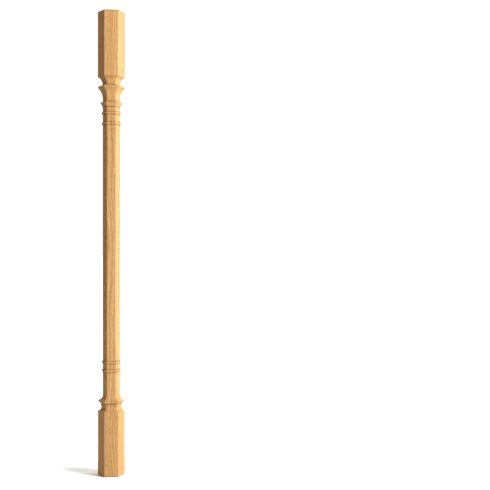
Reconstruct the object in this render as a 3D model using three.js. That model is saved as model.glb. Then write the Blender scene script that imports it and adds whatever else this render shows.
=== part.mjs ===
// Six-sided wooden stair baluster, carved from one length of oak.
// Millimetres, +Z up, with the origin at the centre of the underside. Two of the six flats face -Y and +Y,
// and two of the six arrises lie on the X axis.
import * as THREE from "three";

// The six-sided section, measured from flat to flat, with a narrow flat sanded along each arris
const SIDES = 6;
const BLOCK_ACROSS_FLATS = 45.2;
const SHAFT_ACROSS_FLATS = 28.9;
const EASED_ARRIS_WIDTH = 0.5;

// Overall heights. The mouldings hang on the two blocks, and the plain shaft takes up the rest.
const HEIGHT = 900;
const BASE_BLOCK_HEIGHT = 126;
const TOP_BLOCK_HEIGHT = 127;

// Collar over the base block, from the bottom up: hollow, fillet, ovolo, edge, and the sweep into the shaft.
// Projections of all mouldings are measured at the arrises.
const COVE_RADIUS = 6.45;
const COVE_LIP_ANGLE = 42;
const FILLET_HEIGHT = 2.55;
const FILLET_BATTER = 0.8;
const COLLAR_OVOLO_HEIGHT = 6.1;
const COLLAR_OVOLO_RISE = 0.95;
const COLLAR_EDGE = 1;
const COLLAR_SWEEP_HEIGHT = 9.6;

// Half-round beads that ring the shaft, two near each end
const BEAD_RADIUS = 2.5;
const BEADS_IN_A_PAIR = 2;
const LOWER_BEAD_RISE = 77;
const LOWER_BEAD_SPACING = 16.5;
const UPPER_BEAD_DROP = 70;
const UPPER_BEAD_SPACING = 20.4;

// Capital under the top block, from the top down: hollow, neck, rounded shoulder, edge, and the long sweep
const TOP_COVE_HEIGHT = 13.7;
const NECK_PROUD_OF_SHAFT = 0.45;
const NECK_HEIGHT = 2.4;
const CAPITAL_SHOULDER_HEIGHT = 4.35;
const CAPITAL_EDGE = 0.5;
const CAPITAL_SWEEP_HEIGHT = 20.9;

// Annulet between the capital and the upper beads: a rounded nose over a shallow hollow
const ANNULET_DROP = 47.9;
const ANNULET_PROJECTION = 4.4;
const ANNULET_NOSE_HEIGHT = 2.4;
const ANNULET_EDGE = 0.6;
const ANNULET_HOLLOW_HEIGHT = 7;
const ANNULET_HOLLOW_SAG = 0.4;

// Straight steps in each curved sweep of the outline
const SWEEP_STEPS = 14;

const UP = new THREE.Vector3(0, 0, 1);
const OAK = new THREE.MeshStandardMaterial({ color: 0xd7a66b, roughness: 0.55, metalness: 0 });

// Distance from the axis to a sharp arris, from the distance between two opposite flats
const arrisRadius = (acrossFlats) => acrossFlats / 2 / Math.cos(Math.PI / SIDES);

const BLOCK = arrisRadius(BLOCK_ACROSS_FLATS);
const SHAFT = arrisRadius(SHAFT_ACROSS_FLATS);
const NECK = SHAFT + NECK_PROUD_OF_SHAFT;

// The outline at an arris, drawn upwards. In each point x is the distance from the axis and y the height.
class Outline {
  constructor(radius, height) {
    this.points = [new THREE.Vector2(radius, height)];
  }

  get tip() {
    return this.points[this.points.length - 1];
  }

  lineTo(radius, height) {
    this.points.push(new THREE.Vector2(radius, height));
    return this;
  }

  // A circular sweep whose middle stands out from the straight line by rise, or falls in if rise is negative
  bowTo(radius, height, rise) {
    const start = this.tip.clone();
    const chord = new THREE.Vector2(radius, height).sub(start);
    const half = chord.length() / 2;
    const bend = Math.atan2(Math.abs(rise), half);
    const curve = half / Math.sin(2 * bend);
    const along = chord.clone().normalize();
    const outward = new THREE.Vector2(along.y, -along.x).multiplyScalar(Math.sign(rise));
    const centre = start
      .clone()
      .addScaledVector(along, half)
      .addScaledVector(outward, -curve * Math.cos(2 * bend));
    for (let step = 1; step < SWEEP_STEPS; step++) {
      const angle = 2 * bend * ((2 * step) / SWEEP_STEPS - 1);
      const place = centre
        .clone()
        .addScaledVector(along, curve * Math.sin(angle))
        .addScaledVector(outward, curve * Math.cos(angle));
      this.points.push(place);
    }
    return this.lineTo(radius, height);
  }

  // A hollow sweep between a wide edge and a narrower stem that it runs into without a break
  sweepTo(radius, height) {
    const across = Math.abs(radius - this.tip.x);
    const up = Math.abs(height - this.tip.y);
    const quarterTurn = Math.atan2(across, up) / 2;
    return this.bowTo(radius, height, (-Math.hypot(across, up) / 2) * Math.tan(quarterTurn));
  }

  // A rounded shoulder that leaves an upright edge and ends flat against a stem
  shoulderTo(radius, height) {
    const start = this.tip.clone();
    for (let step = 1; step < SWEEP_STEPS; step++) {
      const angle = (Math.PI / 2) * (step / SWEEP_STEPS);
      const out = radius + (start.x - radius) * Math.cos(angle);
      const up = start.y + (height - start.y) * Math.sin(angle);
      this.lineTo(out, up);
    }
    return this.lineTo(radius, height);
  }

  // The deep hollow that starts flat on the block and is centred on the block's arris
  coveTo(lipAngle, curve) {
    const start = this.tip.clone();
    const turn = Math.PI / 2 + THREE.MathUtils.degToRad(lipAngle);
    for (let step = 1; step <= SWEEP_STEPS; step++) {
      const angle = turn * (step / SWEEP_STEPS);
      this.lineTo(start.x - curve * Math.sin(angle), start.y + curve * (1 - Math.cos(angle)));
    }
    return this;
  }

  // A half-round bead on the shaft, centred at a height
  bead(height) {
    this.lineTo(SHAFT, height - BEAD_RADIUS);
    return this.bowTo(SHAFT, height + BEAD_RADIUS, BEAD_RADIUS);
  }

  // Beads one above the other, the lowest at a height
  beads(lowest, spacing) {
    for (let index = 0; index < BEADS_IN_A_PAIR; index++) {
      this.bead(lowest + index * spacing);
    }
    return this;
  }
}

// Collar from the top of the base block up to the shaft
function drawCollar(outline) {
  outline.coveTo(COVE_LIP_ANGLE, COVE_RADIUS);
  outline.lineTo(outline.tip.x - FILLET_BATTER, outline.tip.y + FILLET_HEIGHT);
  outline.bowTo(BLOCK, outline.tip.y + COLLAR_OVOLO_HEIGHT, COLLAR_OVOLO_RISE);
  outline.lineTo(BLOCK, outline.tip.y + COLLAR_EDGE);
  outline.sweepTo(SHAFT, outline.tip.y + COLLAR_SWEEP_HEIGHT);
}

// Annulet on the shaft, drawn up from its hollow to its nose
function drawAnnulet(outline, top) {
  const edge = SHAFT + ANNULET_PROJECTION;
  const noseFoot = top - ANNULET_NOSE_HEIGHT;
  const hollowTop = noseFoot - ANNULET_EDGE;
  outline.lineTo(SHAFT, hollowTop - ANNULET_HOLLOW_HEIGHT);
  outline.bowTo(edge, hollowTop, -ANNULET_HOLLOW_SAG);
  outline.lineTo(edge, noseFoot);
  outline.shoulderTo(SHAFT, top);
}

// Capital from the shaft up to the underside of the top block
function drawCapital(outline, blockUnderside) {
  const neckTop = blockUnderside - TOP_COVE_HEIGHT;
  const neckFoot = neckTop - NECK_HEIGHT;
  const edgeTop = neckFoot - CAPITAL_SHOULDER_HEIGHT;
  const edgeFoot = edgeTop - CAPITAL_EDGE;
  outline.lineTo(SHAFT, edgeFoot - CAPITAL_SWEEP_HEIGHT);
  outline.sweepTo(BLOCK, edgeFoot);
  outline.lineTo(BLOCK, edgeTop);
  outline.shoulderTo(NECK, neckFoot);
  outline.lineTo(NECK, neckTop);
  outline.sweepTo(BLOCK, blockUnderside);
}

// The whole outline, from the edge of the underside to the edge of the top
function drawBaluster() {
  const blockUnderside = HEIGHT - TOP_BLOCK_HEIGHT;
  const outline = new Outline(BLOCK, 0);
  outline.lineTo(BLOCK, BASE_BLOCK_HEIGHT);
  drawCollar(outline);
  outline.beads(BASE_BLOCK_HEIGHT + LOWER_BEAD_RISE, LOWER_BEAD_SPACING);
  const highestBead = blockUnderside - UPPER_BEAD_DROP;
  outline.beads(highestBead - (BEADS_IN_A_PAIR - 1) * UPPER_BEAD_SPACING, UPPER_BEAD_SPACING);
  drawAnnulet(outline, blockUnderside - ANNULET_DROP);
  drawCapital(outline, blockUnderside);
  outline.lineTo(BLOCK, HEIGHT);
  return outline.points;
}

// Corners of the section whose sharp arris would be at a distance from the axis, two at each eased arris
function sectionAt(arris, height) {
  const half = EASED_ARRIS_WIDTH / 2;
  const reach = arris - half * Math.tan(Math.PI / SIDES);
  const corners = [];
  for (let side = 0; side < SIDES; side++) {
    for (const across of [-half, half]) {
      const corner = new THREE.Vector3(reach, across, height);
      corners.push(corner.applyAxisAngle(UP, (2 * Math.PI * side) / SIDES));
    }
  }
  return corners;
}

// A closed solid through sections one above the other, with flat ends
function loft(sections) {
  const around = sections[0].length;
  const corners = sections.flat();
  const faces = [];
  for (let start = 0; start < corners.length - around; start += around) {
    for (let index = 0; index < around; index++) {
      const here = start + index;
      const next = start + ((index + 1) % around);
      faces.push(here, next, next + around, here, next + around, here + around);
    }
  }
  const lastStart = corners.length - around;
  const bottom = corners.push(new THREE.Vector3(0, 0, sections[0][0].z)) - 1;
  const top = corners.push(new THREE.Vector3(0, 0, sections.at(-1)[0].z)) - 1;
  for (let index = 0; index < around; index++) {
    const next = (index + 1) % around;
    faces.push(bottom, next, index);
    faces.push(top, lastStart + index, lastStart + next);
  }
  const indexed = new THREE.BufferGeometry().setFromPoints(corners);
  indexed.setIndex(faces);
  const geometry = indexed.toNonIndexed();
  geometry.computeVertexNormals();
  return geometry;
}

// The section carried up the outline, with the first arris on +X
function makeBaluster() {
  const sections = drawBaluster().map((point) => sectionAt(point.x, point.y));
  const mesh = new THREE.Mesh(loft(sections), OAK);
  mesh.name = "baluster";
  return mesh;
}

const part = new THREE.Group();
part.add(makeBaluster());

export default part;
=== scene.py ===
"""Dresses the six-sided oak baluster and lights it for its portrait.

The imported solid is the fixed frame. It gives the height and the width of the blocks, and the fine skin
made here stands in for it. Sizes of the baluster are in millimetres and are turned to metres for its mesh.
Lamps, floor and camera are in metres throughout.
"""

import logging
import math
from collections.abc import Iterable, Mapping
from dataclasses import dataclass, field
from enum import Enum

import bpy
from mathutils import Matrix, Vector


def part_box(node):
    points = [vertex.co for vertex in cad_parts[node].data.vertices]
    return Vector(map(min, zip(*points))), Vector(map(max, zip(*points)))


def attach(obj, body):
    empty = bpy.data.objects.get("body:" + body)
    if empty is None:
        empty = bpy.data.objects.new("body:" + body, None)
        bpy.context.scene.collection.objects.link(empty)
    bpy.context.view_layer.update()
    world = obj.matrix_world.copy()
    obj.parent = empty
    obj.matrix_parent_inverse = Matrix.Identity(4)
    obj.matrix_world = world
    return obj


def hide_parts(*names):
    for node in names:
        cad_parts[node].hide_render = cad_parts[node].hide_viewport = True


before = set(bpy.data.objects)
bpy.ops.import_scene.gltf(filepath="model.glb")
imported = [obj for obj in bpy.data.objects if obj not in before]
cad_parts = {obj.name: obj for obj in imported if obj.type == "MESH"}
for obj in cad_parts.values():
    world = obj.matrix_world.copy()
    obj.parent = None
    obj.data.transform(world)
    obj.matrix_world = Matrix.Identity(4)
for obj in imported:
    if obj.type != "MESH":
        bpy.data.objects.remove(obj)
LOG = logging.getLogger("baluster")
MM = 0.001
NODE = "baluster"
BODY = "root"
GRAIN_MAP = "grain"
# Mesh map of painted shade: how dark the inner corners and some rims are shaded, from 0 to 1
PAINTED_SHADE_MAP = "painted_shade"
SIDES = 6
HALF_TURN_OF_A_SIDE = math.pi / SIDES

# Fewest straight pieces in a bow, and in a shoulder or a cove
FEWEST_IN_A_BOW = 4
FEWEST_IN_A_QUARTER = 6

# The part of a straight piece that an eased edge may take up
LONGEST_CUT = 0.45

# Distances from a corner, as shares of the painted shade's reach, at which the fading painted shade gets a
# level of its own
FADE_SHARES = (0.25, 0.5, 1, 1.5)

# How far such a level keeps from both ends of its straight piece, in mm
SHORTEST_STEP = 0.05


class View(Enum):
    """Who sees the surroundings: the camera, or the baluster that they light."""

    CAMERA = "camera"
    OBJECT = "object"


def linear(code: str) -> tuple[float, float, float, float]:
    """Turns an sRGB hex colour into the linear colour that a node takes.

    Args:
        code: six hex digits, red first.

    Returns:
        Red, green, blue and an alpha of 1.
    """
    parts = [int(code[start : start + 2], 16) / 255 for start in (0, 2, 4)]
    bent = [part / 12.92 if part <= 0.04045 else ((part + 0.055) / 1.055) ** 2.4 for part in parts]
    return (bent[0], bent[1], bent[2], 1.0)


def add_node(
    tree: bpy.types.NodeTree,
    kind: str,
    settings: Mapping[str, object] | None = None,
    inputs: Mapping[str | int, object] | None = None,
) -> bpy.types.Node:
    """Adds a node with its settings and its inputs.

    Args:
        tree: the tree that gets the node.
        kind: the node's type name.
        settings: values of the node's own properties, by name.
        inputs: for each input, by name or number, a fixed value or the output that feeds it.

    Returns:
        The new node.
    """
    node = tree.nodes.new(kind)
    for name, value in (settings or {}).items():
        setattr(node, name, value)
    for name, value in (inputs or {}).items():
        if isinstance(value, bpy.types.NodeSocket):
            tree.links.new(value, node.inputs[name])
        else:
            node.inputs[name].default_value = value
    return node


def blank_material(name: str) -> bpy.types.Material:
    """Makes a material whose node tree is still empty.

    Args:
        name: the material's name.

    Returns:
        The material.
    """
    material = bpy.data.materials.new(name)
    material.use_nodes = True
    material.node_tree.nodes.clear()
    return material


def show(name: str, data: bpy.types.ID) -> bpy.types.Object:
    """Makes an object of a mesh, a lamp or a camera and links it to the scene.

    Args:
        name: the object's name.
        data: what it shows.

    Returns:
        The object.
    """
    shown = bpy.data.objects.new(name, data)
    bpy.context.scene.collection.objects.link(shown)
    return shown


def turn_at(before: Vector, here: Vector, after: Vector) -> float:
    """Measures the turn of a profile that is drawn upwards.

    Args:
        before: the point before the turn.
        here: the point of the turn.
        after: the point after it.

    Returns:
        The angle, positive at an outer edge and negative in an inner corner.
    """
    arriving = (here - before).normalized()
    leaving = (after - here).normalized()
    return math.atan2(arriving.cross(leaving), arriving.dot(leaving))


class Outline:
    """The profile along an arris, drawn upwards.

    In each point x is the distance from the axis and y the height, both in mm.
    """

    def __init__(self, radius: float, height: float, step: float) -> None:
        """Starts the profile.

        Args:
            radius: distance of the first point from the axis, in mm.
            height: height of the first point, in mm.
            step: length of the straight pieces that a curve is made of, in mm.
        """
        self.points: list[Vector] = [Vector((radius, height))]
        self.step = step

    @property
    def tip(self) -> Vector:
        """The last point."""
        return self.points[-1]

    def line_to(self, radius: float, height: float) -> None:
        """Adds a straight piece up to a distance from the axis and a height."""
        self.points.append(Vector((radius, height)))

    def bow_to(self, radius: float, height: float, rise: float) -> None:
        """Adds a circular sweep.

        Args:
            radius: distance of its end from the axis.
            height: height of its end.
            rise: how far its middle stands out from the straight line, negative for a hollow.
        """
        start = self.tip.copy()
        chord = Vector((radius, height)) - start
        half = chord.length / 2
        bend = math.atan2(abs(rise), half)
        curve = half / math.sin(2 * bend)
        along = chord.normalized()
        outward = Vector((along.y, -along.x)) * math.copysign(1, rise)
        centre = start + along * half - outward * curve * math.cos(2 * bend)
        steps = max(FEWEST_IN_A_BOW, round(4 * bend * curve / self.step))
        for index in range(1, steps):
            angle = 2 * bend * (2 * index / steps - 1)
            place = centre + along * curve * math.sin(angle) + outward * curve * math.cos(angle)
            self.points.append(place)
        self.line_to(radius, height)

    def sweep_to(self, radius: float, height: float) -> None:
        """Adds a hollow between a wide edge and a narrower stem that it runs into without a break.

        Args:
            radius: distance of its end from the axis.
            height: height of its end.
        """
        across = abs(radius - self.tip.x)
        up = abs(height - self.tip.y)
        quarter_turn = math.atan2(across, up) / 2
        self.bow_to(radius, height, -math.hypot(across, up) / 2 * math.tan(quarter_turn))

    def shoulder_to(self, radius: float, height: float) -> None:
        """Adds a rounded shoulder that leaves an upright edge and ends flat against a stem.

        Args:
            radius: distance of the stem from the axis.
            height: height at which the shoulder meets the stem.
        """
        start = self.tip.copy()
        span = math.hypot(radius - start.x, height - start.y)
        steps = max(FEWEST_IN_A_QUARTER, round(span / self.step))
        for index in range(1, steps + 1):
            angle = math.pi / 2 * index / steps
            out = radius + (start.x - radius) * math.cos(angle)
            self.line_to(out, start.y + (height - start.y) * math.sin(angle))

    def cove_to(self, lip_angle: float, curve: float) -> None:
        """Adds the deep hollow that starts flat on the block.

        Args:
            lip_angle: how far past the upright its upper lip turns back out, in degrees.
            curve: its radius.
        """
        start = self.tip.copy()
        turn = math.pi / 2 + math.radians(lip_angle)
        steps = max(FEWEST_IN_A_QUARTER, round(turn * curve / self.step))
        for index in range(1, steps + 1):
            angle = turn * index / steps
            self.line_to(start.x - curve * math.sin(angle), start.y + curve * (1 - math.cos(angle)))

    def eased(self, radius: float, sharpest: float) -> list[Vector]:
        """Rounds the outer edges as light sanding does and leaves the inner corners crisp.

        Args:
            radius: radius left on an outer edge, in mm.
            sharpest: the turn from which a corner counts as an edge, in degrees.

        Returns:
            The points of the eased profile.
        """
        points = [self.points[0]]
        for before, here, after in zip(self.points, self.points[1:], self.points[2:]):
            turn = turn_at(before, here, after)
            if turn < math.radians(sharpest):
                points.append(here)
                continue
            cut = radius * math.tan(turn / 2)
            first, last = (
                here + (end - here).normalized() * min(cut, (end - here).length * LONGEST_CUT)
                for end in (before, after)
            )
            points += [first, here * 0.5 + (first + last) * 0.25, last]
        points.append(self.points[-1])
        return points


@dataclass(frozen=True)
class Level:
    """One level of the profile and how dark its painted shade is, from 0 to 1."""

    radius: float
    height: float
    painted_shade: float


def levels(points: list[Vector], rims: list[Level], reach: float, shallowest: float) -> list[Level]:
    """Paints shade into the inner corners and along some rims of a profile, and adds levels where the
    painted shade fades.

    Args:
        points: the profile, drawn upwards.
        rims: places near outer edges that get a line of painted shade, which darkens the eased edge and the
            ends.
        reach: how far the painted shade reaches along the profile, in mm.
        shallowest: the inward turn from which a corner gets painted shade, in degrees.

    Returns:
        The levels, upwards.
    """
    # Painted shade: full in each inner corner and set at each rim, fading over the reach
    shaded_spots = [(Vector((rim.radius, rim.height)), rim.painted_shade) for rim in rims]
    for before, here, after in zip(points, points[1:], points[2:]):
        if turn_at(before, here, after) < -math.radians(shallowest):
            shaded_spots.append((here, 1.0))
    places = [points[0]]
    for start, end in zip(points, points[1:]):
        length = (end - start).length
        if length > reach:
            fades = [reach * share for share in FADE_SHARES]
            cuts = sorted(fades + [length - fade for fade in fades])
            kept = [cut for cut in cuts if SHORTEST_STEP < cut < length - SHORTEST_STEP]
            places += [start.lerp(end, cut / length) for cut in kept]
        places.append(end)
    drawn = []
    for place in places:
        painted_shade = max(depth * (1 - (place - spot).length / reach) for spot, depth in shaded_spots)
        drawn.append(Level(place.x, place.y, max(0.0, painted_shade)))
    return drawn


@dataclass
class Collar:
    """The flared collar over the base block, upwards: hollow, fillet, ovolo, edge, and sweep."""

    cove_radius: float = 6.45
    cove_lip_angle: float = 42
    fillet_height: float = 2.55
    fillet_batter: float = 0.8
    ovolo_height: float = 6.1
    ovolo_rise: float = 0.95
    edge: float = 1
    sweep_height: float = 9.6

    def draw(self, outline: Outline, block: float, shaft: float) -> None:
        """Draws the collar up from the top of the base block.

        Args:
            outline: the profile, which ends at the top of the block.
            block: distance from the axis to an arris of the block.
            shaft: distance from the axis to an arris of the shaft.
        """
        outline.cove_to(self.cove_lip_angle, self.cove_radius)
        outline.line_to(outline.tip.x - self.fillet_batter, outline.tip.y + self.fillet_height)
        outline.bow_to(block, outline.tip.y + self.ovolo_height, self.ovolo_rise)
        outline.line_to(block, outline.tip.y + self.edge)
        outline.sweep_to(shaft, outline.tip.y + self.sweep_height)


@dataclass
class BeadPair:
    """Two half-round beads that ring the shaft."""

    spacing: float
    radius: float = 2.5

    def draw(self, outline: Outline, lowest: float, shaft: float) -> None:
        """Draws both beads.

        Args:
            outline: the profile, which ends on the shaft below the beads.
            lowest: height of the middle of the lower bead.
            shaft: distance from the axis to an arris of the shaft.
        """
        for middle in (lowest, lowest + self.spacing):
            outline.line_to(shaft, middle - self.radius)
            outline.bow_to(shaft, middle + self.radius, self.radius)


@dataclass
class Annulet:
    """The small ring below the capital: a rounded nose over a shallow hollow."""

    projection: float = 4.4
    nose_height: float = 2.4
    edge: float = 0.6
    hollow_height: float = 7
    hollow_sag: float = 0.4

    def draw(self, outline: Outline, top: float, shaft: float) -> None:
        """Draws the annulet up to its nose.

        Args:
            outline: the profile, which ends on the shaft below the annulet.
            top: height where the nose meets the shaft.
            shaft: distance from the axis to an arris of the shaft.
        """
        out = shaft + self.projection
        nose_foot = top - self.nose_height
        hollow_top = nose_foot - self.edge
        outline.line_to(shaft, hollow_top - self.hollow_height)
        outline.bow_to(out, hollow_top, -self.hollow_sag)
        outline.line_to(out, nose_foot)
        outline.shoulder_to(shaft, top)


@dataclass
class Capital:
    """The capital under the top block, downwards: hollow, neck, shoulder, edge, and long sweep."""

    cove_height: float = 13.7
    neck_proud: float = 0.45
    neck_height: float = 2.4
    shoulder_height: float = 4.35
    edge: float = 0.5
    sweep_height: float = 20.9

    def draw(self, outline: Outline, underside: float, block: float, shaft: float) -> None:
        """Draws the capital up to the underside of the top block.

        Args:
            outline: the profile, which ends on the shaft below the capital.
            underside: height of the underside of the top block.
            block: distance from the axis to an arris of the block.
            shaft: distance from the axis to an arris of the shaft.
        """
        neck = shaft + self.neck_proud
        neck_top = underside - self.cove_height
        neck_foot = neck_top - self.neck_height
        edge_top = neck_foot - self.shoulder_height
        edge_foot = edge_top - self.edge
        outline.line_to(shaft, edge_foot - self.sweep_height)
        outline.sweep_to(block, edge_foot)
        outline.line_to(block, edge_top)
        outline.shoulder_to(neck, neck_foot)
        outline.line_to(neck, neck_top)
        outline.sweep_to(block, underside)


@dataclass(frozen=True)
class LacqueredOak:
    """Light oak, planed and sanded along the grain, under a thin clear satin lacquer.

    The eye sees a honey ground with tan growth bands a few millimetres apart, open pores as fine dark
    lines that follow the shaft, and a soft broad sheen. The inner corners and some rims get painted shade,
    a dark brown laid into the colour where occlusion and contact shade fall. Single fibres are too fine
    to show, so the streaks are as coarse as bundles of them. Widths, lengths, spacings and depths of
    pores are in mm. Each pair of numbers is a range that a pattern is cut to or spread over.
    """

    name: str = "oak_long_grain"
    light: str = "e6bb7c"
    middle: str = "dcac6d"
    dark: str = "c18d52"
    pore: str = "8f6037"
    # Dark brown of the painted shade in the inner corners and along some rims
    painted_shade: str = "54310f"
    ring_spacing: float = 3.6
    ring_depth: float = 0.7
    ring_fade: tuple[tuple[float, float], ...] = ((0, 0.1), (0.1, 0.9), (0.25, 0.7), (0.5, 0.2), (1, 0.1))
    drift_width: float = 26
    drift_length: float = 260
    drift: float = 4.5
    tone_width: float = 7
    tone_length: float = 500
    tone_range: tuple[float, float] = (0.34, 0.66)
    wander_width: float = 24
    wander_length: float = 130
    wander: float = 5
    fibre_width: float = 0.42
    fibre_length: float = 24
    fibre_range: tuple[float, float] = (0.3, 0.7)
    fibre_tones: tuple[float, float] = (0.84, 1.12)
    pore_width: float = 0.26
    pore_length: float = 9
    pore_limits: tuple[float, float] = (0.6, 0.48)
    pore_fade: float = 0.1
    pore_tone: float = 0.6
    pore_depth: float = 0.1
    relief: float = 0.4
    # How far the painted shade darkens the colour
    painted_shade_depth: float = 0.9
    sheen_range: tuple[float, float] = (0.3, 0.7)
    roughness: tuple[float, float] = (0.42, 0.56)
    ior: float = 1.5
    coat: float = 0.1
    coat_roughness: float = 0.35

    def make(self) -> bpy.types.Material:
        """Builds the material. It reads the grain map, so the grain follows each flat.

        Returns:
            The finished material.
        """
        material = blank_material(self.name)
        tree = material.node_tree
        chart = add_node(tree, "ShaderNodeUVMap", {"uv_map": GRAIN_MAP})
        straight = add_node(
            tree,
            "ShaderNodeVectorMath",
            {"operation": "SCALE"},
            {0: chart.outputs["UV"], "Scale": 1 / MM},
        ).outputs["Vector"]
        bend = self.streaks(tree, straight, self.wander_width, self.wander_length, 0)
        flat = add_node(
            tree,
            "ShaderNodeVectorMath",
            {"operation": "MULTIPLY_ADD"},
            {0: bend, 1: (self.wander, 0, 0), 2: straight},
        ).outputs["Vector"]
        tone = self.streaks(tree, flat, self.tone_width, self.tone_length, 2)
        fibre = self.streaks(tree, flat, self.fibre_width, self.fibre_length, 2)
        ring = self.rings(tree, flat)
        pores = self.pores(tree, flat, ring)
        colour = self.colour(tree, tone, fibre, ring, pores)
        relief = add_node(
            tree, "ShaderNodeMath", {"operation": "MULTIPLY_ADD"}, {0: pores, 1: -1, 2: fibre}
        ).outputs[0]
        bump = add_node(
            tree,
            "ShaderNodeBump",
            {},
            {"Strength": self.relief, "Distance": self.pore_depth * MM, "Height": relief},
        )
        sheen = add_node(
            tree,
            "ShaderNodeMapRange",
            {},
            {
                "Value": tone,
                "From Min": self.sheen_range[0],
                "From Max": self.sheen_range[1],
                "To Min": self.roughness[0],
                "To Max": self.roughness[1],
            },
        ).outputs[0]
        shader = add_node(
            tree,
            "ShaderNodeBsdfPrincipled",
            {},
            {
                "Base Color": colour,
                "Roughness": sheen,
                "Normal": bump.outputs[0],
                "IOR": self.ior,
                "Coat Weight": self.coat,
                "Coat Roughness": self.coat_roughness,
            },
        )
        add_node(tree, "ShaderNodeOutputMaterial", {}, {"Surface": shader.outputs[0]})
        return material

    def streaks(
        self,
        tree: bpy.types.NodeTree,
        flat: bpy.types.NodeSocket,
        width: float,
        length: float,
        detail: float,
    ) -> bpy.types.NodeSocket:
        """Adds noise drawn out along the grain.

        Args:
            tree: the material's tree.
            flat: place on the flat in mm, across and along the grain.
            width: width of a streak, in mm.
            length: length of a streak, in mm.
            detail: levels of finer noise on it.

        Returns:
            The noise, about 0 to 1.
        """
        stretched = add_node(
            tree, "ShaderNodeVectorMath", {"operation": "DIVIDE"}, {0: flat, 1: (width, length, 1)}
        ).outputs["Vector"]
        noise = add_node(
            tree,
            "ShaderNodeTexNoise",
            {"noise_dimensions": "2D"},
            {"Vector": stretched, "Scale": 1, "Detail": detail, "Roughness": 0.5},
        )
        return noise.outputs["Fac"]

    def rings(self, tree: bpy.types.NodeTree, flat: bpy.types.NodeSocket) -> bpy.types.NodeSocket:
        """Adds the growth bands. Each starts dark with open spring wood and fades to summer wood.

        Args:
            tree: the material's tree.
            flat: place on the flat in mm, across and along the grain.

        Returns:
            0 in summer wood and 1 where spring wood starts.
        """
        drift = self.streaks(tree, flat, self.drift_width, self.drift_length, 1)
        across = add_node(tree, "ShaderNodeSeparateXYZ", {}, {0: flat}).outputs[0]
        count = add_node(
            tree, "ShaderNodeMath", {"operation": "DIVIDE"}, {0: across, 1: self.ring_spacing}
        ).outputs[0]
        turned = add_node(
            tree,
            "ShaderNodeMath",
            {"operation": "MULTIPLY_ADD"},
            {0: drift, 1: self.drift, 2: count},
        ).outputs[0]
        part = add_node(tree, "ShaderNodeMath", {"operation": "FRACT"}, {0: turned}).outputs[0]
        ramp = add_node(tree, "ShaderNodeFloatCurve", {}, {"Value": part})
        curve = ramp.mapping.curves[0]
        first, *between, last = self.ring_fade
        curve.points[0].location = first
        curve.points[1].location = last
        for place, height in between:
            curve.points.new(place, height)
        ramp.mapping.update()
        return ramp.outputs[0]

    def pores(
        self, tree: bpy.types.NodeTree, flat: bpy.types.NodeSocket, ring: bpy.types.NodeSocket
    ) -> bpy.types.NodeSocket:
        """Adds the open pores, crowded in spring wood and sparse in summer wood.

        The real ones are about 0.3 mm wide, and rows of them read as lines a few centimetres long.

        Args:
            tree: the material's tree.
            flat: place on the flat in mm, across and along the grain.
            ring: the growth bands.

        Returns:
            1 in a pore and 0 beside it.
        """
        dashes = self.streaks(tree, flat, self.pore_width, self.pore_length, 1)
        limit = add_node(
            tree,
            "ShaderNodeMapRange",
            {},
            {"Value": ring, "To Min": self.pore_limits[0], "To Max": self.pore_limits[1]},
        ).outputs[0]
        over = add_node(
            tree, "ShaderNodeMath", {"operation": "SUBTRACT"}, {0: dashes, 1: limit}
        ).outputs[0]
        return add_node(
            tree, "ShaderNodeMapRange", {}, {"Value": over, "From Max": self.pore_fade}
        ).outputs[0]

    def colour(
        self,
        tree: bpy.types.NodeTree,
        tone: bpy.types.NodeSocket,
        fibre: bpy.types.NodeSocket,
        ring: bpy.types.NodeSocket,
        pores: bpy.types.NodeSocket,
    ) -> bpy.types.NodeSocket:
        """Colours the ground, then lays the growth bands, fibres, pores and the painted shade of the inner
        corners and rims over it.

        Args:
            tree: the material's tree.
            tone: broad change of tone across the board.
            fibre: fine streaks.
            ring: the growth bands.
            pores: the open pores.

        Returns:
            The colour.
        """
        shift = add_node(
            tree,
            "ShaderNodeMapRange",
            {},
            {"Value": tone, "From Min": self.tone_range[0], "From Max": self.tone_range[1]},
        ).outputs[0]
        ground = add_node(
            tree,
            "ShaderNodeMix",
            {"data_type": "RGBA"},
            {0: shift, 6: linear(self.middle), 7: linear(self.light)},
        ).outputs[2]
        banding = add_node(
            tree, "ShaderNodeMath", {"operation": "MULTIPLY"}, {0: ring, 1: self.ring_depth}
        ).outputs[0]
        banded = add_node(
            tree,
            "ShaderNodeMix",
            {"data_type": "RGBA"},
            {0: banding, 6: ground, 7: linear(self.dark)},
        ).outputs[2]
        comb = add_node(
            tree,
            "ShaderNodeMapRange",
            {},
            {
                "Value": fibre,
                "From Min": self.fibre_range[0],
                "From Max": self.fibre_range[1],
                "To Min": self.fibre_tones[0],
                "To Max": self.fibre_tones[1],
            },
        ).outputs[0]
        combed = add_node(
            tree, "ShaderNodeVectorMath", {"operation": "SCALE"}, {0: banded, "Scale": comb}
        ).outputs["Vector"]
        piercing = add_node(
            tree, "ShaderNodeMath", {"operation": "MULTIPLY"}, {0: pores, 1: self.pore_tone}
        ).outputs[0]
        pierced = add_node(
            tree,
            "ShaderNodeMix",
            {"data_type": "RGBA"},
            {0: piercing, 6: combed, 7: linear(self.pore)},
        ).outputs[2]
        # Painted shade: the mesh's map darkens the colour towards a dark brown in the inner corners and
        # along some rims
        painted_shade = add_node(tree, "ShaderNodeAttribute", {"attribute_name": PAINTED_SHADE_MAP}).outputs["Fac"]
        painted_shading = add_node(
            tree, "ShaderNodeMath", {"operation": "MULTIPLY"}, {0: painted_shade, 1: self.painted_shade_depth}
        ).outputs[0]
        return add_node(
            tree,
            "ShaderNodeMix",
            {"data_type": "RGBA"},
            {0: painted_shading, 6: pierced, 7: linear(self.painted_shade)},
        ).outputs[2]


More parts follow.
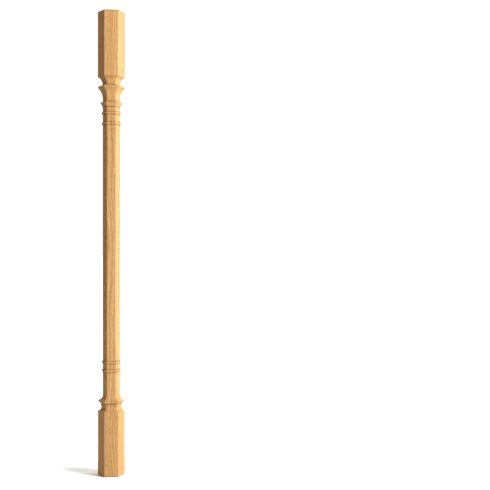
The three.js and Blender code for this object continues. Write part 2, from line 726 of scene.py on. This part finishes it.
@dataclass(frozen=True)
class EndGrainOak:
    """The sawn and sanded ends of the oak.

    The eye sees the growth rings as shallow arcs, rows of pores as dark dots, fine pale rays across them,
    and a darker and duller tone, because the cut fibres drink the lacquer. The dots are about twice as
    coarse as real pores, so that they show. The place of the pith and the spacings are in mm, and the
    radius of a pore is a share of the spacing, in dark and in light wood.
    """

    name: str = "oak_end_grain"
    light: str = "e6bd89"
    dark: str = "b9864f"
    ray: str = "eccb9c"
    pit: str = "b3aaa0"
    pith: tuple[float, float] = (-62, -105)
    ring_spacing: float = 3.4
    wobble_scale: float = 0.06
    wobble: float = 1.4
    pore_spacing: float = 0.7
    pore_radii: tuple[float, float] = (0.34, 0.1)
    pore_depth: float = 0.15
    relief: float = 0.4
    ray_angle: float = 0.6
    ray_range: tuple[float, float] = (0.58, 0.7)
    ray_tone: float = 0.6
    roughness: float = 0.6
    ior: float = 1.5

    def make(self) -> bpy.types.Material:
        """Builds the material on Object coordinates, with the pith off to one side of the section.

        Returns:
            The finished material.
        """
        material = blank_material(self.name)
        tree = material.node_tree
        place = add_node(tree, "ShaderNodeTexCoord").outputs["Object"]
        from_pith = add_node(
            tree,
            "ShaderNodeMapping",
            {},
            {
                "Vector": place,
                "Location": (-self.pith[0], -self.pith[1], 0),
                "Scale": (1 / MM, 1 / MM, 0),
            },
        ).outputs[0]
        wobble = add_node(
            tree,
            "ShaderNodeTexNoise",
            {"noise_dimensions": "2D"},
            {"Vector": from_pith, "Scale": self.wobble_scale, "Detail": 2},
        ).outputs["Fac"]
        reach = add_node(
            tree, "ShaderNodeVectorMath", {"operation": "LENGTH"}, {0: from_pith}
        ).outputs["Value"]
        count = add_node(
            tree, "ShaderNodeMath", {"operation": "DIVIDE"}, {0: reach, 1: self.ring_spacing}
        ).outputs[0]
        turned = add_node(
            tree,
            "ShaderNodeMath",
            {"operation": "MULTIPLY_ADD"},
            {0: wobble, 1: self.wobble, 2: count},
        ).outputs[0]
        part = add_node(tree, "ShaderNodeMath", {"operation": "FRACT"}, {0: turned}).outputs[0]
        summer = add_node(
            tree, "ShaderNodeMapRange", {"interpolation_type": "SMOOTHSTEP"}, {"Value": part}
        ).outputs[0]
        ground = add_node(
            tree,
            "ShaderNodeMix",
            {"data_type": "RGBA"},
            {0: summer, 6: linear(self.dark), 7: linear(self.light)},
        ).outputs[2]
        dots = add_node(
            tree,
            "ShaderNodeTexVoronoi",
            {"voronoi_dimensions": "2D"},
            {"Vector": from_pith, "Scale": 1 / self.pore_spacing},
        ).outputs["Distance"]
        radius = add_node(
            tree,
            "ShaderNodeMapRange",
            {},
            {"Value": summer, "To Min": self.pore_radii[0], "To Max": self.pore_radii[1]},
        ).outputs[0]
        pore = add_node(
            tree, "ShaderNodeMath", {"operation": "LESS_THAN"}, {0: dots, 1: radius}
        ).outputs[0]
        pitted = add_node(
            tree,
            "ShaderNodeMix",
            {"data_type": "RGBA", "blend_type": "MULTIPLY"},
            {0: pore, 6: ground, 7: linear(self.pit)},
        ).outputs[2]
        flat = add_node(tree, "ShaderNodeSeparateXYZ", {}, {0: from_pith})
        bearing = add_node(
            tree,
            "ShaderNodeMath",
            {"operation": "ARCTAN2"},
            {0: flat.outputs[1], 1: flat.outputs[0]},
        ).outputs[0]
        turns = add_node(
            tree,
            "ShaderNodeMath",
            {"operation": "DIVIDE"},
            {0: bearing, 1: math.radians(self.ray_angle)},
        ).outputs[0]
        rays = add_node(
            tree,
            "ShaderNodeTexNoise",
            {"noise_dimensions": "1D"},
            {"W": turns, "Scale": 1, "Detail": 1},
        ).outputs["Fac"]
        ray = add_node(
            tree,
            "ShaderNodeMapRange",
            {},
            {
                "Value": rays,
                "From Min": self.ray_range[0],
                "From Max": self.ray_range[1],
                "To Max": self.ray_tone,
            },
        ).outputs[0]
        colour = add_node(
            tree, "ShaderNodeMix", {"data_type": "RGBA"}, {0: ray, 6: pitted, 7: linear(self.ray)}
        ).outputs[2]
        bump = add_node(
            tree,
            "ShaderNodeBump",
            {"invert": True},
            {"Strength": self.relief, "Distance": self.pore_depth * MM, "Height": pore},
        )
        shader = add_node(
            tree,
            "ShaderNodeBsdfPrincipled",
            {},
            {
                "Base Color": colour,
                "Roughness": self.roughness,
                "Normal": bump.outputs[0],
                "IOR": self.ior,
            },
        )
        add_node(tree, "ShaderNodeOutputMaterial", {}, {"Surface": shader.outputs[0]})
        return material


@dataclass
class Baluster:
    """The whole baluster, one length of oak. Heights and distances are in mm, turns in degrees."""

    height: float
    block: float
    shaft_share: float = 28.9 / 45.2
    base_block_height: float = 126
    top_block_height: float = 127
    collar: Collar = field(default_factory=Collar)
    lower_bead_rise: float = 77
    lower_beads: BeadPair = field(default_factory=lambda: BeadPair(spacing=16.5))
    upper_bead_drop: float = 70
    upper_beads: BeadPair = field(default_factory=lambda: BeadPair(spacing=20.4))
    annulet_drop: float = 47.9
    annulet: Annulet = field(default_factory=Annulet)
    capital: Capital = field(default_factory=Capital)
    arris_radius: float = 0.35
    arris_steps: int = 3
    arris_border: float = 1.2
    edge_radius: float = 0.2
    edge_turn: float = 35
    # Painted shade: the inward turn from which a corner gets it, its reach along the profile in mm, and how
    # dark it is at the rims of the blocks and at the two ends
    corner_turn: float = 20
    painted_shade_reach: float = 1.3
    block_rim_painted_shade: float = 0.5
    end_painted_shade: float = 0.8
    curve_step: float = 0.4
    merge_distance: float = 0.005
    end_margin: float = 0.01
    grain_offset: float = 131
    long_grain: LacqueredOak = field(default_factory=LacqueredOak)
    end_grain: EndGrainOak = field(default_factory=EndGrainOak)

    @property
    def shaft(self) -> float:
        """Distance from the axis to an arris of the shaft."""
        return self.block * self.shaft_share

    def outline(self) -> list[Level]:
        """Draws the profile along an arris, from the edge of the underside to the edge of the top.

        Returns:
            Its levels.
        """
        underside = self.height - self.top_block_height
        outline = Outline(0, 0, self.curve_step)
        outline.line_to(self.block, 0)
        outline.line_to(self.block, self.base_block_height)
        self.collar.draw(outline, self.block, self.shaft)
        self.lower_beads.draw(outline, self.base_block_height + self.lower_bead_rise, self.shaft)
        highest = underside - self.upper_bead_drop
        self.upper_beads.draw(outline, highest - self.upper_beads.spacing, self.shaft)
        self.annulet.draw(outline, underside - self.annulet_drop, self.shaft)
        self.capital.draw(outline, underside, self.block, self.shaft)
        outline.line_to(self.block, self.height)
        outline.line_to(0, self.height)
        eased = outline.eased(self.edge_radius, self.edge_turn)[1:-1]
        inward = self.painted_shade_reach / 2
        # Lines of painted shade just inside the rims of the blocks and at the two ends
        rims = [
            Level(self.block, inward, self.end_painted_shade),
            Level(self.block, self.base_block_height + inward, self.block_rim_painted_shade),
            Level(self.block, underside - inward, self.block_rim_painted_shade),
            Level(self.block, self.height - inward, self.end_painted_shade),
        ]
        return levels(eased, rims, self.painted_shade_reach, self.corner_turn)

    def row(self, arris: float, height: float) -> list[Vector]:
        """Lays out one level of the front side, from the middle of its left arris to that of the right.

        Args:
            arris: distance from the axis to where the sharp arris would be.
            height: height of the level.

        Returns:
            The places from left to right.
        """
        hub = arris - self.arris_radius / math.cos(HALF_TURN_OF_A_SIDE)
        centre = Vector((math.sin(HALF_TURN_OF_A_SIDE), -math.cos(HALF_TURN_OF_A_SIDE))) * hub
        right = []
        for index in range(self.arris_steps + 1):
            bearing = HALF_TURN_OF_A_SIDE * index / self.arris_steps
            around = Vector((math.sin(bearing), -math.cos(bearing))) * self.arris_radius
            right.append(centre + around)
        right.insert(0, right[0] - Vector((self.arris_border, 0)))
        left = [Vector((-place.x, place.y)) for place in reversed(right)]
        middle = [Vector((0, right[0].y))]
        return [Vector((place.x, place.y, height)) * MM for place in left + middle + right]

    def side(self) -> bpy.types.Mesh:
        """Builds the front side, with its sixth of the underside and of the top.

        Returns:
            The open mesh that the tree repeats round the axis.
        """
        drawn = self.outline()
        rows = [self.row(level.radius, level.height) for level in drawn]
        across = len(rows[0])
        places = [place for row in rows for place in row]
        faces = []
        for start in range(0, len(places) - across, across):
            for index in range(start, start + across - 1):
                faces.append((index, index + 1, index + across + 1, index + across))
        bottom = len(places)
        top = bottom + 1
        last = bottom - across
        places += [Vector((0, 0, 0)), Vector((0, 0, self.height * MM))]
        for index in range(across - 1):
            faces.append((bottom, index + 1, index))
            faces.append((top, last + index, last + index + 1))
        mesh = bpy.data.meshes.new("baluster_side")
        mesh.from_pydata(places, [], faces)
        # Each vertex carries the painted shade of its level
        painted_shades = [level.painted_shade for level in drawn for _ in range(across)] + [0.0, 0.0]
        mesh.attributes.new(PAINTED_SHADE_MAP, "FLOAT", "POINT").data.foreach_set("value", painted_shades)
        return mesh

    def tree(self) -> bpy.types.GeometryNodeTree:
        """Builds the tree that turns one side into the closed baluster and dresses it.

        Returns:
            The tree, with its sizes and finishes as named inputs.
        """
        tree = bpy.data.node_groups.new("sides_round_the_axis", "GeometryNodeTree")
        kinds = {
            "Side": "NodeSocketGeometry",
            "Sides": "NodeSocketInt",
            "Height": "NodeSocketFloat",
            "Long Grain": "NodeSocketMaterial",
            "End Grain": "NodeSocketMaterial",
        }
        for name, kind in kinds.items():
            tree.interface.new_socket(name, in_out="INPUT", socket_type=kind)
        tree.interface.new_socket("Baluster", in_out="OUTPUT", socket_type="NodeSocketGeometry")
        given = add_node(tree, "NodeGroupInput").outputs
        spots = add_node(
            tree, "GeometryNodeMeshLine", {}, {"Count": given["Sides"], "Offset": (0, 0, 0)}
        ).outputs[0]
        index = add_node(tree, "GeometryNodeInputIndex").outputs[0]
        step = add_node(
            tree, "ShaderNodeMath", {"operation": "DIVIDE"}, {0: math.tau, 1: given["Sides"]}
        ).outputs[0]
        bearing = add_node(
            tree, "ShaderNodeMath", {"operation": "MULTIPLY"}, {0: index, 1: step}
        ).outputs[0]
        turn = add_node(tree, "ShaderNodeCombineXYZ", {}, {"Z": bearing}).outputs[0]
        round_axis = add_node(
            tree,
            "GeometryNodeInstanceOnPoints",
            {},
            {"Points": spots, "Instance": given["Side"], "Rotation": turn},
        ).outputs[0]
        real = add_node(tree, "GeometryNodeRealizeInstances", {}, {0: round_axis}).outputs[0]
        closed = add_node(
            tree,
            "GeometryNodeMergeByDistance",
            {},
            {"Geometry": real, "Distance": self.merge_distance * MM},
        ).outputs[0]
        place = add_node(tree, "GeometryNodeInputPosition").outputs[0]
        level = add_node(tree, "ShaderNodeSeparateXYZ", {}, {0: place}).outputs[2]
        middle = add_node(
            tree, "ShaderNodeMath", {"operation": "MULTIPLY"}, {0: given["Height"], 1: 0.5}
        ).outputs[0]
        away = add_node(
            tree, "ShaderNodeMath", {"operation": "SUBTRACT"}, {0: level, 1: middle}
        ).outputs[0]
        off = add_node(tree, "ShaderNodeMath", {"operation": "ABSOLUTE"}, {0: away}).outputs[0]
        limit = add_node(
            tree, "ShaderNodeMath", {"operation": "SUBTRACT"}, {0: middle, 1: self.end_margin * MM}
        ).outputs[0]
        at_end = add_node(
            tree, "FunctionNodeCompare", {"operation": "GREATER_THAN"}, {0: off, 1: limit}
        ).outputs[0]
        dressed = add_node(
            tree,
            "GeometryNodeSetMaterial",
            {},
            {"Geometry": closed, "Material": given["Long Grain"]},
        ).outputs[0]
        ends = add_node(
            tree,
            "GeometryNodeSetMaterial",
            {},
            {"Geometry": dressed, "Selection": at_end, "Material": given["End Grain"]},
        ).outputs[0]
        add_node(tree, "NodeGroupOutput", {}, {0: ends})
        return tree

    def map_grain(self, mesh: bpy.types.Mesh) -> None:
        """Lays the grain map on every flat, as sawn boards show it.

        Front and back are charted across the X axis and the four other flats across the Y axis. So the
        grain stands upright on the front and leans out with the mouldings on the others. Each flat reads
        its own stretch of the pattern.

        Args:
            mesh: the closed baluster.
        """
        chart = mesh.uv_layers.new(name=GRAIN_MAP)
        for face in mesh.polygons:
            bearing = math.atan2(face.center.x, -face.center.y)
            side = round(bearing / math.tau * SIDES) % SIDES
            across_x = side in (0, SIDES // 2)
            for loop in face.loop_indices:
                place = mesh.vertices[mesh.loops[loop].vertex_index].co
                across = place.x if across_x else place.y
                chart.data[loop].uv = (across + side * self.grain_offset * MM, place.z)

    def build(self) -> bpy.types.Object:
        """Makes the dressed baluster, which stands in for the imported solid.

        Returns:
            The finished piece.
        """
        draft = show("baluster_draft", self.side())
        modifier = draft.modifiers.new("sides", "NODES")
        modifier.node_group = self.tree()
        given = {
            "Sides": SIDES,
            "Height": self.height * MM,
            "Long Grain": self.long_grain.make(),
            "End Grain": self.end_grain.make(),
        }
        for item in modifier.node_group.interface.items_tree:
            if item.in_out == "INPUT" and item.name in given:
                modifier[item.identifier] = given[item.name]
        closed = draft.evaluated_get(bpy.context.evaluated_depsgraph_get())
        mesh = bpy.data.meshes.new_from_object(closed)
        bpy.data.objects.remove(draft)
        mesh.name = "oak_baluster"
        self.map_grain(mesh)
        mesh.shade_smooth()
        mesh.set_sharp_from_angle(angle=math.radians(self.edge_turn))
        piece = show("oak_baluster", mesh)
        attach(piece, BODY)
        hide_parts(NODE)
        return piece


@dataclass(frozen=True)
class Panel:
    """A soft white panel lamp. Lengths are in metres, angles in degrees and power in watts."""

    name: str
    bearing: float
    width: float
    power: float
    tall: float = 1.9
    distance: float = 1.9
    height: float = 0.95
    aim_height: float = 0.95

    def hang(self) -> bpy.types.Object:
        """Hangs the lamp and turns it to the axis of the baluster.

        Returns:
            The lamp.
        """
        light = bpy.data.lights.new(self.name, "AREA")
        light.shape = "RECTANGLE"
        light.size = self.width
        light.size_y = self.tall
        light.energy = self.power
        lamp = show(self.name, light)
        bearing = math.radians(self.bearing)
        place = Vector((math.sin(bearing) * self.distance, -math.cos(bearing) * self.distance, self.height))
        aim = Vector((0, 0, self.aim_height))
        lamp.location = place
        lamp.rotation_euler = (place - aim).to_track_quat("Z", "Y").to_euler()
        return lamp


@dataclass
class Studio:
    """White sweep, soft panels at the right, behind and above, and the camera of the portrait.

    Lengths are in metres, angles in degrees. Bearings turn to the right from the front of the baluster.
    """

    floor_reach: float = 40
    glow_near: float = 0.08
    glow_far: float = 0.22
    veil: float = 0.02
    floor_tone: str = "f4eee2"
    overexposed: tuple[float, float, float, float] = (2.1, 2.45, 2.5, 1)
    fill: float = 0.27
    fill_tone: str = "ffeae0"
    backdrop: float = 1.1
    key_panel: Panel = Panel("key_panel", bearing=56.5, width=0.85, power=53)
    side_panel: Panel = Panel("side_panel", bearing=112, width=0.8, power=11.5)
    back_panel: Panel = Panel("back_panel", bearing=172, width=0.8, power=22)
    top_panel: Panel = Panel(
        "top_panel", bearing=0, width=1, power=9, tall=1, distance=0, height=2.4, aim_height=0.45
    )
    eye_height: float = 0.447
    distance: float = 1.75
    bearing: float = 0.94
    sensor_width: float = 36
    frame_pixels: int = 490
    focal_pixels: float = 888
    axis_pixel: float = 111.39

    def split(
        self, tree: bpy.types.NodeTree, looks: Mapping[View, bpy.types.NodeSocket]
    ) -> bpy.types.Node:
        """Gives the camera one surround and the baluster another, so that the sweep can be white.

        Args:
            tree: the floor's or the world's tree.
            looks: the shader for each viewer.

        Returns:
            The node that chooses between them.
        """
        path = add_node(tree, "ShaderNodeLightPath")
        return add_node(
            tree,
            "ShaderNodeMixShader",
            {},
            {0: path.outputs["Is Camera Ray"], 1: looks[View.OBJECT], 2: looks[View.CAMERA]},
        )

    def floor(self) -> None:
        """Lays the white floor, which isn't part of the object.

        The camera sees it overexposed, and a glow takes over a little way from the foot, so only the shadow
        near the foot shows on it. It lights the baluster as a pale floor does.
        """
        reach = self.floor_reach
        corners = [(-reach, -reach, 0), (reach, -reach, 0), (reach, reach, 0), (-reach, reach, 0)]
        mesh = bpy.data.meshes.new("floor")
        mesh.from_pydata(corners, [], [(0, 1, 2, 3)])
        material = blank_material("white_sweep")
        tree = material.node_tree
        place = add_node(tree, "ShaderNodeTexCoord").outputs["Object"]
        away = add_node(
            tree, "ShaderNodeVectorMath", {"operation": "LENGTH"}, {0: place}
        ).outputs["Value"]
        glow = add_node(
            tree,
            "ShaderNodeMapRange",
            {"interpolation_type": "SMOOTHSTEP"},
            {"Value": away, "From Min": self.glow_near, "From Max": self.glow_far, "To Min": self.veil},
        ).outputs[0]
        sheet = add_node(tree, "ShaderNodeBsdfDiffuse", {}, {0: self.overexposed}).outputs[0]
        beyond = add_node(tree, "ShaderNodeEmission", {}, {"Strength": glow}).outputs[0]
        bright = add_node(tree, "ShaderNodeAddShader", {}, {0: sheet, 1: beyond}).outputs[0]
        pale = add_node(tree, "ShaderNodeBsdfDiffuse", {}, {0: linear(self.floor_tone)}).outputs[0]
        chosen = self.split(tree, {View.CAMERA: bright, View.OBJECT: pale})
        add_node(tree, "ShaderNodeOutputMaterial", {}, {"Surface": chosen.outputs[0]})
        mesh.materials.append(material)
        floor = show("floor", mesh)

    def surroundings(self) -> None:
        """Sets the world: white behind the baluster, and a weaker light around it."""
        world = bpy.data.worlds.new("studio")
        bpy.context.scene.world = world
        world.use_nodes = True
        tree = world.node_tree
        tree.nodes.clear()
        seen = {View.CAMERA: ("ffffff", self.backdrop), View.OBJECT: (self.fill_tone, self.fill)}
        looks = {
            view: add_node(
                tree, "ShaderNodeBackground", {}, {"Color": linear(tone), "Strength": strength}
            ).outputs[0]
            for view, (tone, strength) in seen.items()
        }
        chosen = self.split(tree, looks)
        add_node(tree, "ShaderNodeOutputWorld", {}, {"Surface": chosen.outputs[0]})

    def camera(self) -> None:
        """Sets the camera level near mid-height, turned so that the baluster stands left of the centre."""
        data = bpy.data.cameras.new("portrait")
        data.sensor_width = self.sensor_width
        data.lens = self.sensor_width * self.focal_pixels / self.frame_pixels
        holder = show("portrait", data)
        bearing = math.radians(self.bearing)
        holder.location = (
            self.distance * math.sin(bearing),
            -self.distance * math.cos(bearing),
            self.eye_height,
        )
        aside = math.atan((self.frame_pixels / 2 - self.axis_pixel) / self.focal_pixels)
        holder.rotation_euler = (math.pi / 2, 0, bearing - aside)
        bpy.context.scene.camera = holder

    def light_piece_alone(self, piece: bpy.types.Object) -> None:
        """Hangs the panels behind and above. They light only the piece, so the floor's shadow stays.

        Args:
            piece: the dressed baluster.
        """
        lit = bpy.data.collections.new("lit_alone")
        lit.objects.link(piece)
        for panel in (self.back_panel, self.top_panel):
            panel.hang().light_linking.receiver_collection = lit

    def build(self, piece: bpy.types.Object) -> None:
        """Sets up the floor, the surroundings, the lamps and the camera.

        Args:
            piece: the dressed baluster.
        """
        self.floor()
        self.surroundings()
        self.key_panel.hang()
        self.side_panel.hang()
        self.light_piece_alone(piece)
        self.camera()
        bpy.context.scene.view_settings.view_transform = "Standard"


def main() -> None:
    """Builds the baluster and its studio."""
    logging.basicConfig(level=logging.INFO, format="%(message)s")
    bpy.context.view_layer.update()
    lowest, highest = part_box(NODE)
    across_flats = (highest[1] - lowest[1]) / MM
    baluster = Baluster(highest[2] / MM, block=across_flats / 2 / math.cos(HALF_TURN_OF_A_SIDE))
    piece = baluster.build()
    LOG.info("%s: %d faces, %.1f mm tall", piece.name, len(piece.data.polygons), baluster.height)
    Studio().build(piece)
    LOG.info("studio: floor, four panels and camera")


if __name__ == "__main__":
    main()
